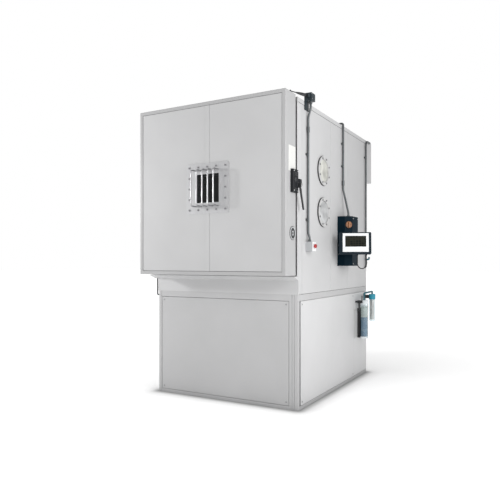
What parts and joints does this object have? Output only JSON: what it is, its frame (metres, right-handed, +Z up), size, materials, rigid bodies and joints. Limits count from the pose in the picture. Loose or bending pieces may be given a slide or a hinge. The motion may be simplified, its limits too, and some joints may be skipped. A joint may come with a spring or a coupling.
{
  "type": "environmental test chamber",
  "caption": "Free-standing temperature test chamber: insulated cabinet with a windowed side-hinged door on a machine base, with conduits, monitor and water filters on one side.",
  "frame": {"origin": "on the floor, under the middle of the body, at the underside of the base frame's centre rail", "axes": "+X to the right seen from the front, +Y to the back, +Z up; the door faces -Y"},
  "size_m": [1.8032, 2.261, 2.54],
  "materials": {
    "painted_sheet": "satin powder coat",
    "painted_frame": "satin paint",
    "stainless": "brushed",
    "bright_steel": "satin",
    "conduit_steel": "dull zinc",
    "foam": "matte",
    "seal_rubber": "matte",
    "black_casting": "semi-gloss black",
    "hinge_steel": "satin",
    "lever_steel": "dark",
    "copper": "dull copper",
    "painted_dark": "semi-gloss",
    "fins": "satin",
    "heater_sheath": "dull",
    "fan_metal": "satin",
    "motor_paint": "satin paint",
    "plug_foam": "matte",
    "red_plastic": "gloss",
    "amber_plastic": "gloss",
    "monitor_plastic": "satin",
    "face_plastic": "satin",
    "screen_glass": "gloss",
    "window_glass": "clear",
    "cable_jacket": "satin",
    "clear_plastic": "clear",
    "resin": "granular",
    "filter_plastic": "satin",
    "pipe_plastic": "satin",
    "black_plastic": "satin"
  },
  "bodies": {
    "cabinet": {"base_frame": "painted_frame", "base_surround": "painted_sheet", "front_base_panel": "painted_sheet", "side_base_panels": "painted_sheet", "rear_grille_panel": "painted_sheet", "panel_screws": "bright_steel", "compressors": "black_casting", "condenser": "painted_dark", "refrigerant_lines": "copper", "wall_skins": "painted_sheet", "roof_cap": "painted_sheet", "insulation": "foam", "liner": "stainless", "door_jamb": "stainless", "drip_sill": "painted_sheet", "sill_drain_pipe": "black_plastic", "air_baffle": "stainless", "evaporator_coil": "fins", "heater_elements": "heater_sheath", "blower_motor": "motor_paint", "rear_cover": "painted_sheet", "shelf": "stainless", "port_sleeves": "stainless", "conduits": "conduit_steel", "estop_box": "painted_sheet", "door_switch": "black_casting", "control_enclosure": "painted_dark", "arm_bracket": "painted_dark", "filter_bracket": "black_plastic", "filter_cartridge": "clear_plastic", "filter_media": "resin", "filter_bowl": "clear_plastic", "filter_heads": "filter_plastic", "water_pipes": "pipe_plastic", "latch_strike": "black_casting", "cabinet_hinge_leaves": "hinge_steel"},
    "door": {"door_edge_frame": "painted_sheet", "door_skin": "painted_sheet", "door_foam": "foam", "door_inner_panel": "stainless", "door_gasket": "seal_rubber", "window_frame": "stainless", "window_panes": "window_glass", "window_guard": "bright_steel", "window_bolts": "bright_steel", "latch_body": "black_casting", "door_hinge_leaves": "hinge_steel"},
    "latch_lever": {"latch_lever": "black_casting"},
    "blower": {"blower_wheel": "fan_metal"},
    "upper_plug": {"upper_port_plug": "plug_foam"},
    "lower_plug": {"lower_port_plug": "plug_foam"},
    "stop_button": {"estop_button": "red_plastic"},
    "switch_lever": {"door_switch_lever": "lever_steel"},
    "knob": {"disconnect_knob": "amber_plastic"},
    "arm": {"monitor_arm": "painted_dark"},
    "monitor": {"monitor_housing": "monitor_plastic", "monitor_bezel": "face_plastic", "monitor_screen": "screen_glass", "monitor_cable": "cable_jacket"},
    "valve_handle": {"filter_valve_handle": "black_plastic"}
  },
  "joints": [
    {"name": "door_swing", "type": "hinge", "parent": "cabinet", "child": "door", "pos_m": [-0.74, -0.93, 1.779], "axis": [0, 0, -1], "range_deg": [0, 110]},
    {"name": "latch_lift", "type": "hinge", "parent": "door", "child": "latch_lever", "pos_m": [0.745, -0.95, 1.775], "axis": [-1, 0, 0], "range_deg": [0, 75]},
    {"name": "blower_spin", "type": "hinge", "parent": "cabinet", "child": "blower", "pos_m": [0, 0.69, 2.18], "axis": [0, 1, 0], "continuous": true},
    {"name": "upper_plug_pull", "type": "slide", "parent": "cabinet", "child": "upper_plug", "axis": [1, 0, 0], "range_m": [0, 0.1]},
    {"name": "lower_plug_pull", "type": "slide", "parent": "cabinet", "child": "lower_plug", "axis": [1, 0, 0], "range_m": [0, 0.1]},
    {"name": "stop_press", "type": "slide", "parent": "cabinet", "child": "stop_button", "axis": [-1, 0, 0], "range_m": [0, 0.005], "stiffness_N_per_m": 900},
    {"name": "switch_lift", "type": "hinge", "parent": "cabinet", "child": "switch_lever", "pos_m": [0.73, -0.782, 2.515], "axis": [-1, 0, 0], "range_deg": [0, 12], "stiffness_Nm_per_rad": 2, "springref_deg": -5.73},
    {"name": "knob_turn", "type": "hinge", "parent": "cabinet", "child": "knob", "pos_m": [0.7985, 0.0275, 1.524], "axis": [0.7071, -0.7071, 0], "range_deg": [0, 90]},
    {"name": "arm_swing", "type": "hinge", "parent": "cabinet", "child": "arm", "pos_m": [0.852, 0.12, 1.343], "axis": [0, 0, 1], "range_deg": [-8, 75]},
    {"name": "monitor_tilt", "type": "hinge", "parent": "arm", "child": "monitor", "pos_m": [0.8887, -0.0546, 1.343], "axis": [0.9272, 0.3746, 0], "range_deg": [-15, 15]},
    {"name": "valve_turn", "type": "hinge", "parent": "cabinet", "child": "valve_handle", "pos_m": [0.76, 0.527, 0.775], "axis": [1, 0, 0], "range_deg": [0, 90]}
  ]
}
